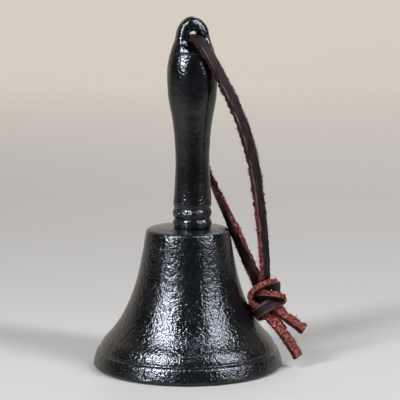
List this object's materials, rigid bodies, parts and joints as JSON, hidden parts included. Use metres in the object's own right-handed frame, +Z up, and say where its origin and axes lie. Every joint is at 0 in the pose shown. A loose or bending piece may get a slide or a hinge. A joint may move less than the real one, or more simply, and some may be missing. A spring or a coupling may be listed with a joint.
{
  "type": "hand bell",
  "caption": "Cast-iron hand bell: flared bell on a waisted upright handle with an eye, a knotted leather loop through the eye, and a ball clapper on a link inside.",
  "frame": {"origin": "centre of the lip's base circle, on the surface the bell stands on", "axes": "+Z up along the bell's axis to the handle's eye, +X towards the side where the lace hangs, -Y towards the front"},
  "size_m": [0.0857, 0.0762, 0.14],
  "materials": {
    "black_cast_iron": "sand cast, black satin enamel",
    "bare_cast_iron": "sand cast, tumbled, bare",
    "zinc_steel": "bright zinc plate",
    "lace_leather": "dark brown grain side, reddish suede flesh side"
  },
  "bodies": {
    "bell": {"bell_body": "black_cast_iron", "handle": "black_cast_iron", "eye_bolt": "zinc_steel", "crown_washer": "zinc_steel", "spring_washer": "zinc_steel", "hex_nut": "zinc_steel", "lace_loop": "lace_leather", "lace_knot": "lace_leather", "lace_tail_upper": "lace_leather", "lace_tail_lower": "lace_leather"},
    "link": {"clapper_link": "zinc_steel"},
    "clapper": {"clapper_rod": "zinc_steel", "clapper_ball": "bare_cast_iron"}
  },
  "joints": [
    {"name": "link_swing", "type": "hinge", "parent": "bell", "child": "link", "pos_m": [0, 0, 0.0388], "axis": [1, 0, 0], "range_deg": [-10, 10]},
    {"name": "clapper_swing", "type": "hinge", "parent": "link", "child": "clapper", "pos_m": [0, 0, 0.03385], "axis": [0, 1, 0], "range_deg": [-41, 41]}
  ]
}
